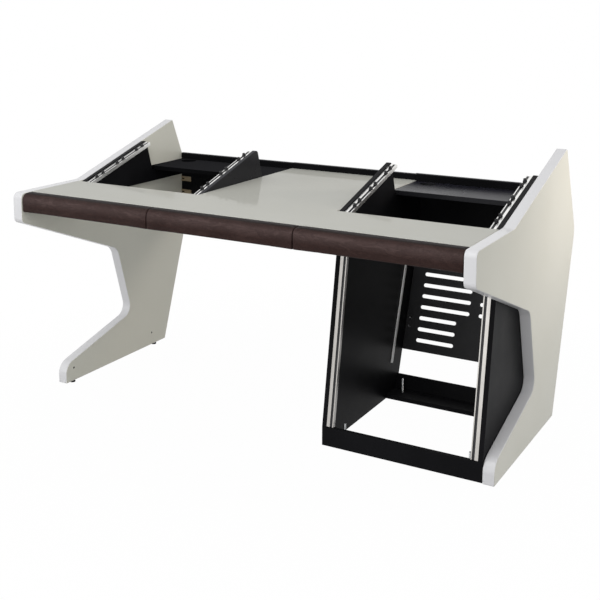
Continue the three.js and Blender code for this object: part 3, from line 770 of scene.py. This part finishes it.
def screwRowTree():
    maker, given = geometryTree("screw_pairs", {
        "Screw": "Object", "Pairs": "Int", "First pair": "Float", "Pair pitch": "Float",
        "Pair spacing": "Float", "Seed": "Int", "Finish": "Material"})
    pairStart = maker.wire("ShaderNodeCombineXYZ", Y=given["First pair"])
    pairStep = maker.wire("ShaderNodeCombineXYZ", Y=given["Pair pitch"])
    rows = maker.wire("GeometryNodeMeshLine", Count=given["Pairs"], Start_Location=pairStart, Offset=pairStep)
    twoStart = maker.wire("ShaderNodeCombineXYZ", Y=given["Pair spacing"] * -0.5)
    twoStep = maker.wire("ShaderNodeCombineXYZ", Y=given["Pair spacing"])
    two = maker.wire("GeometryNodeMeshLine", Count=2, Start_Location=twoStart, Offset=twoStep)
    places = maker.wire("GeometryNodeRealizeInstances", Geometry=maker.wire(
        "GeometryNodeInstanceOnPoints", Points=rows, Instance=two))
    screw = maker.wire("GeometryNodeObjectInfo", output=-1, Object=given["Screw"])
    spin = maker.wire("FunctionNodeRandomValue", {"data_type": "FLOAT_VECTOR"}, n0=(0, 0, 0),
                      n1=(0, 0, 2 * math.pi), Seed=given["Seed"])
    screws = maker.wire("GeometryNodeInstanceOnPoints", Points=places, Instance=screw, Rotation=spin)
    joined = maker.node("GeometryNodeJoinGeometry")
    maker.tree.links.new(screws.socket, joined.inputs[0])
    maker.tree.links.new(given["Geometry"].socket, joined.inputs[0])
    solid = maker.wire("GeometryNodeRealizeInstances", Geometry=Wire(maker.tree, joined.outputs[0]))
    dressed = maker.wire("GeometryNodeSetMaterial", Geometry=solid, Material=given["Finish"])
    maker.node("NodeGroupOutput", Geometry=dressed)
    return maker.tree


def barShape(look):
    shape = bmesh.new()
    bmesh.ops.create_cube(shape, size=1, matrix=Matrix.LocRotScale(
        Vector((0, look["barLength"] / 2 + look["seat"], -look["barDrop"] + look["barThickness"] / 2)), None,
        Vector((look["barWidth"], look["barLength"], look["barThickness"]))))
    bmesh.ops.bevel(shape, geom=list(shape.edges), offset=look["barEdge"], segments=2, profile=0.5, affect="EDGES")
    return shaded(shape)


screwModel = bpy.data.objects.new("rail_screw_model", railScrewShape(railScrews))
screwTree = screwRowTree()
for side, bay in ((-1, "left"), (1, "right")):
    for end, label in ((-1, "left"), (1, "right")):
        node = f"bay_{bay}_screws_{label}"
        piece = pieceFrom(node + "_turned", meshFrom(node, barShape(railScrews)), "blackOxide")
        runTree(piece, screwTree, {
            "Screw": screwModel, "Pairs": railScrews["pairs"], "First pair": railScrews["firstPair"],
            "Pair pitch": railScrews["pairPitch"], "Pair spacing": railScrews["pairSpacing"],
            "Seed": 11 + 2 * side + end, "Finish": finishes["blackOxide"]})
        slotX = side * deskPlaces["bayMiddle"] + end * (deskPlaces["bayHalfWidth"] - deskPlaces["railSlotIn"])
        frontY = deskPlaces["bayFront"] - deskPlaces["middleDepth"]
        bayFront = Matrix.Translation((slotX, frontY, deskPlaces["bayFrontHeight"]))
        onRail = Matrix.Translation((0, deskPlaces["railStart"], -deskPlaces["railDrop"]))
        place = bayFront @ Matrix.Rotation(deskPlaces["incline"], 4, "X") @ onRail
        piece.data.transform(place)
        declare(piece, node)
bpy.data.objects.remove(screwModel)
print("rail screws made")

# Levelling feet: a threaded stem with a collar over a round pad
footLook = {
    "padRadius": 0.010,
    "padHeight": 0.005,
    "padRim": 0.0015,
    "padBend": 0.0004,
    "padHollow": 0.0005,
    "padSides": 48,
    "stemRadius": 0.004,
    "threadPitch": 0.00125,
    "threadDepth": 0.0006,
    "collarRadius": 0.0065,
    "collarHeight": 0.0016,
    "sides": 24,
}


def footPad(node, look):
    low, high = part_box(node)
    r, h = look["padRadius"], look["padHeight"]
    rim, bend, hollow = look["padRim"], look["padBend"], look["padHollow"]
    shape = lathe([
        (0, hollow), (r * 0.5, hollow), (r * 0.55, 0), (r - rim, 0), (r - bend, bend), (r, rim),
        (r, h - rim), (r - bend, h - bend), (r - rim, h), (0, h),
    ], look["padSides"])
    bmesh.ops.translate(shape, verts=shape.verts, vec=((low.x + high.x) / 2, (low.y + high.y) / 2, 0))
    declare(pieceFrom(node + "_turned", meshFrom(node, shaded(shape)), "plastic"), node)


def footStem(node, look):
    low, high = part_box(node)
    collarTop = low.z + look["collarHeight"]
    rows = [(0, low.z), (look["collarRadius"] - 0.0003, low.z), (look["collarRadius"], low.z + 0.0003),
            (look["collarRadius"], collarTop - 0.0003), (look["collarRadius"] - 0.0003, collarTop)]
    step = look["threadPitch"] / 4
    count = int((high.z - 0.0006 - collarTop) / step)
    threadStart = len(rows)
    rows += [(look["stemRadius"], collarTop + step * n) for n in range(count + 1)]
    rows += [(look["stemRadius"] - 0.001, high.z), (0, high.z)]
    shape = lathe(rows, look["sides"])
    shape.verts.ensure_lookup_table()
    firstThread = 1 + look["sides"] * (threadStart - 1)
    for row in range(2, count + 1):
        for s in range(look["sides"]):
            vertex = shape.verts[firstThread + row * look["sides"] + s]
            turn = (vertex.co.z - collarTop) / look["threadPitch"] - s / look["sides"]
            groove = abs((turn % 1.0) * 2 - 1)
            radius = look["stemRadius"] - look["threadDepth"] * groove
            vertex.co.x = radius * math.cos(2 * math.pi * s / look["sides"])
            vertex.co.y = radius * math.sin(2 * math.pi * s / look["sides"])
    bmesh.ops.translate(shape, verts=shape.verts, vec=((low.x + high.x) / 2, (low.y + high.y) / 2, 0))
    declare(pieceFrom(node + "_threaded", meshFrom(node, shaded(shape, 60)), "zincBright"), node)


for node in sorted(frame["nodes"]):
    if node.startswith("foot_"):
        (footPad if node.endswith("_pad") else footStem)(node, footLook)
print("feet made")

# Black inserts in the bolt holes of the side panels
insertLook = {
    "radius": 0.0038,
    "socket": 0.0022,
    "recess": 0.0002,
    "length": 0.009,
    "face": 0.788,
    "height": 0.057,
    "depths": (0.041, 0.502),
}


def boltInsert(name, side, depth, look):
    shape = lathe([(0, -look["length"]), (look["radius"], -look["length"]), (look["radius"], -0.0004),
                   (look["radius"] - 0.0004, 0), (look["socket"], 0), (look["socket"], -0.003), (0, -0.0036)], 24)
    spot = (side * (look["face"] + look["recess"]), depth - deskPlaces["middleDepth"], look["height"])
    place = Matrix.Translation(spot)
    bmesh.ops.transform(shape, matrix=place @ Matrix.Rotation(-side * math.pi / 2, 4, "Y"), verts=shape.verts)
    piece = pieceFrom(name, meshFrom(name, shaded(shape)), "plastic")
    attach(piece, "desk_frame")


for side, label in ((-1, "left"), (1, "right")):
    for depth, end in zip(insertLook["depths"], ("front", "rear")):
        boltInsert(f"bolt_insert_{label}_{end}", side, depth, insertLook)
print("bolt inserts made")

# Small screws along the left edge of the vent panel
ventScrews = {
    "across": 0.2888,
    "heights": (0.2587, 0.2285),
    "footDepth": 0.537,
    "footHeight": 0.010,
    "lean": math.atan2(792.4 - 590.0, 609.3 - 8.5),
    "headRadius": 0.0034,
    "headHeight": 0.0014,
    "socket": 0.0012,
}


def ventScrew(name, height, look):
    r, h = look["headRadius"], look["headHeight"]
    shape = lathe([
        (0, 0), (r, 0), (r, h * 0.5), (r * 0.8, h), (look["socket"], h),
        (look["socket"] * 0.6, h * 0.4), (0, h * 0.4),
    ], 20)
    depth = look["footDepth"] + (height - look["footHeight"]) * math.tan(look["lean"]) - deskPlaces["middleDepth"]
    spot = Matrix.Translation((look["across"], depth, height))
    place = spot @ Matrix.Rotation(math.pi / 2 - look["lean"], 4, "X")
    bmesh.ops.transform(shape, matrix=place, verts=shape.verts)
    piece = pieceFrom(name, meshFrom(name, shaded(shape)), "zincBright")
    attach(piece, "desk_frame")


for number, height in enumerate(ventScrews["heights"]):
    ventScrew(f"vent_screw_{number + 1}", height, ventScrews)
print("vent screws made")

# Camera: at the photograph's place and angle
cameraPlace = {
    "spot": (1.72145, -2.72251 - deskPlaces["middleDepth"], 1.40204),
    "azimuth": 29.333,
    "elevation": 7.534,
    "roll": 0.178,
    "lens": 62.1155,
    "shift": (-0.00486, -0.27675),
}


def makeCamera(look):
    data = bpy.data.cameras.new("camera")
    data.lens = look["lens"]
    data.sensor_width = 36
    data.shift_x, data.shift_y = look["shift"]
    camera = bpy.data.objects.new("camera", data)
    bpy.context.scene.collection.objects.link(camera)
    camera.matrix_world = (Matrix.Translation(look["spot"])
                           @ Matrix.Rotation(math.radians(look["azimuth"]), 4, "Z")
                           @ Matrix.Rotation(math.radians(90 - look["elevation"]), 4, "X")
                           @ Matrix.Rotation(math.radians(look["roll"]), 4, "Z"))
    bpy.context.scene.camera = camera


makeCamera(cameraPlace)

# Studio: a white floor and sky, and large soft lamps
white = (1.0, 1.0, 1.0)
lamps = {
    "key": {
        "spot": (2.5, -3.6, 1.5), "aim": (0, 0, 0.6),
        "size": 2.4, "power": 6, "spread": 180, "colour": white},
    "front": {
        "spot": (0.1, -3.3, 0.9), "aim": (-0.6, 0, 0.4),
        "size": 1.8, "power": 6, "spread": 120, "colour": white},
    "fill": {
        "spot": (-3.2, -2.6, 1.2), "aim": (0, 0, 0.5),
        "size": 2.4, "power": 19, "spread": 180, "colour": white},
    "top": {
        "spot": (0.1, -1.9, 2.5), "aim": (0, 0, 0.7),
        "size": 1.8, "power": 22, "spread": 180, "colour": white},
    "warm": {
        "spot": (2.0, 1.2, 1.15), "aim": (0.83, 0.42, 0.82),
        "size": 0.5, "power": 1.4, "spread": 48, "colour": (1.0, 0.91, 0.84)},
}
studio = {
    "sky": 0.72,
    "floorSize": 30,
    "floorWhite": 0.55,
    "glowNear": 0.985,
    "glowFar": 1.0,
    "nearRadius": 0.7,
    "farRadius": 1.6,
}


def makeLamp(name, look):
    data = bpy.data.lights.new(name, "AREA")
    data.size = look["size"]
    data.energy = look["power"]
    data.spread = math.radians(look["spread"])
    data.color = look["colour"]
    lamp = bpy.data.objects.new(name, data)
    bpy.context.scene.collection.objects.link(lamp)
    spot = Vector(look["spot"])
    turn = (Vector(look["aim"]) - spot).to_track_quat("-Z", "Y")
    lamp.matrix_world = Matrix.Translation(spot) @ turn.to_matrix().to_4x4()


for name, look in lamps.items():
    makeLamp(name, look)


def makeSky(look):
    world = bpy.data.worlds.new("sky")
    bpy.context.scene.world = world
    world.use_nodes = True
    maker = Maker(world.node_tree)
    ray = maker.node("ShaderNodeLightPath")
    seen = Wire(maker.tree, ray.outputs["Is Camera Ray"]) + Wire(maker.tree, ray.outputs["Is Glossy Ray"])
    seen = (seen + Wire(maker.tree, ray.outputs["Is Transmission Ray"])).clamped()
    strength = seen * (1 - look["sky"]) + look["sky"]
    glow = maker.node("ShaderNodeBackground", Color=grey(1.0), Strength=strength)
    out = maker.node("ShaderNodeOutputWorld")
    maker.tree.links.new(glow.outputs[0], out.inputs[0])


def makeFloor(look):
    shape = bmesh.new()
    bmesh.ops.create_grid(shape, x_segments=1, y_segments=1, size=look["floorSize"])
    floor = bpy.data.objects.new("floor", meshFrom("floor", shape))
    bpy.context.scene.collection.objects.link(floor)
    paint = bpy.data.materials.new("floor_paint")
    paint.use_nodes = True
    maker = Maker(paint.node_tree)
    ray = maker.node("ShaderNodeLightPath")
    seen = Wire(maker.tree, ray.outputs["Is Camera Ray"]) + Wire(maker.tree, ray.outputs["Is Glossy Ray"])
    seen = (seen + Wire(maker.tree, ray.outputs["Is Transmission Ray"])).clamped()
    place = maker.wire("ShaderNodeTexCoord", output=3)
    away = maker.wire("ShaderNodeVectorMath", {"operation": "LENGTH"}, output=1, n0=place)
    glowShare = maker.wire(
        "ShaderNodeMapRange", Value=away, From_Min=look["nearRadius"], From_Max=look["farRadius"],
        To_Min=look["glowNear"], To_Max=look["glowFar"])
    matt = maker.node("ShaderNodeBsdfDiffuse", Color=grey(look["floorWhite"]))
    glow = maker.node("ShaderNodeEmission", Color=grey(1.0), Strength=1.0)
    mixed = maker.node("ShaderNodeMixShader", n0=seen * glowShare)
    maker.tree.links.new(matt.outputs[0], mixed.inputs[1])
    maker.tree.links.new(glow.outputs[0], mixed.inputs[2])
    out = maker.node("ShaderNodeOutputMaterial")
    maker.tree.links.new(mixed.outputs[0], out.inputs["Surface"])
    floor.data.materials.append(paint)


makeSky(studio)
makeFloor(studio)
bpy.context.scene.view_settings.view_transform = "Standard"
print("studio made")
